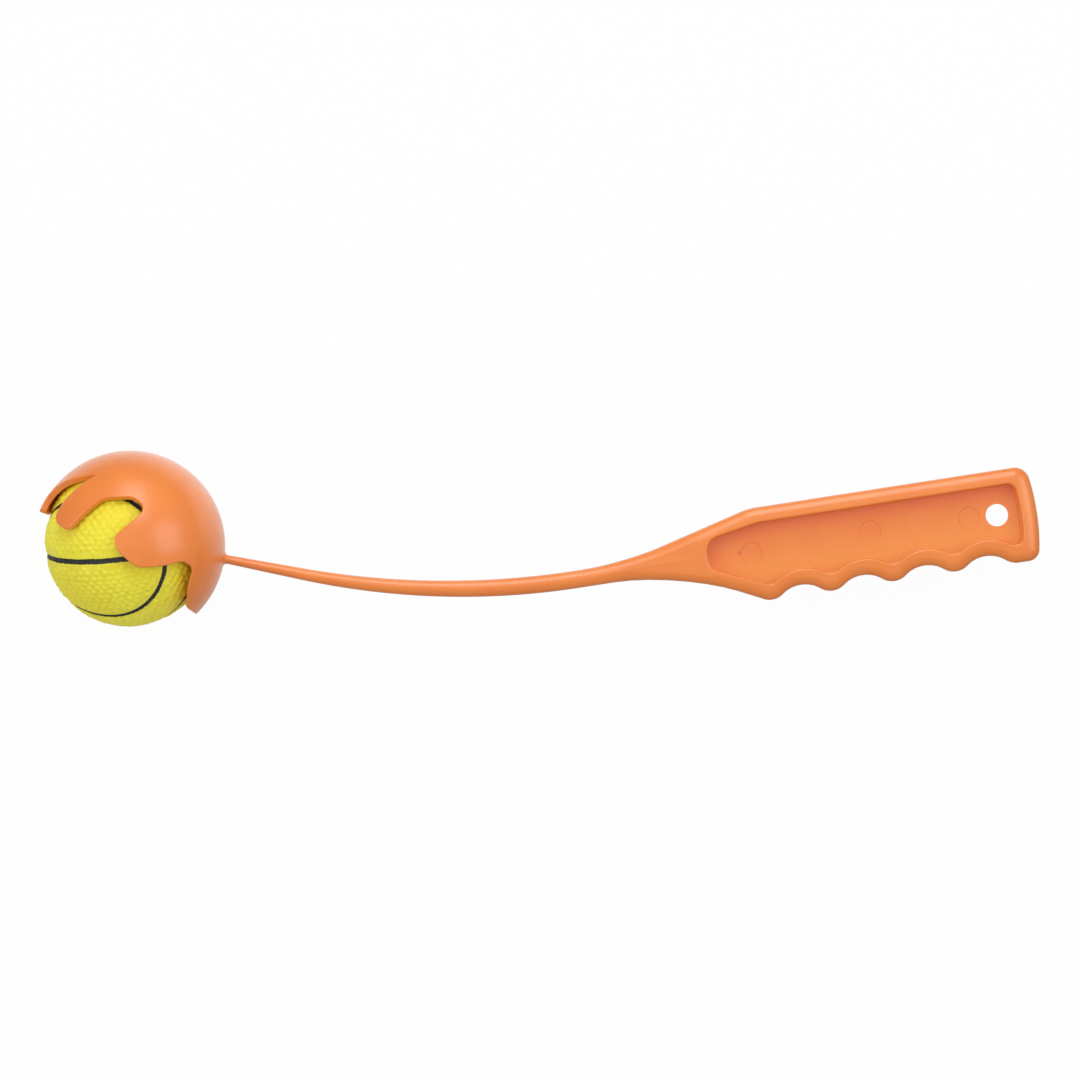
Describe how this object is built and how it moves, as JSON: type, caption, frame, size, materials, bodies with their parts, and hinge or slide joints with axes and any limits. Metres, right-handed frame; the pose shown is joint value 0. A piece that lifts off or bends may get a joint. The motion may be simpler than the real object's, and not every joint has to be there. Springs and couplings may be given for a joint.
{
  "type": "dog ball launcher",
  "caption": "Moulded throwing stick for dog balls: a round claw cup holds a rubber ball, a slim curved arm carries it, and a flat grip with finger scallops ends in a hang hole.",
  "frame": {"origin": "centre of the hang hole, on the launcher's mid-plane", "axes": "+X along the grip towards its end, the cup lies at -X; +Y towards the grip's plain back edge, away from the finger scallops; +Z square to the throwing plane, along the hang hole, so that the launcher lies on its side"},
  "size_m": [0.3521, 0.088, 0.068],
  "materials": {
    "launcher_plastic": "satin",
    "ball_rubber": "matte"
  },
  "bodies": {
    "launcher": {"claw_cup": "launcher_plastic", "arm": "launcher_plastic", "handle": "launcher_plastic"},
    "ball": {"ball": "ball_rubber"}
  },
  "joints": [
    {"name": "ball_release", "type": "slide", "parent": "launcher", "child": "ball", "axis": [-0.5983, -0.8013, 0], "range_m": [0, 0.08]}
  ]
}
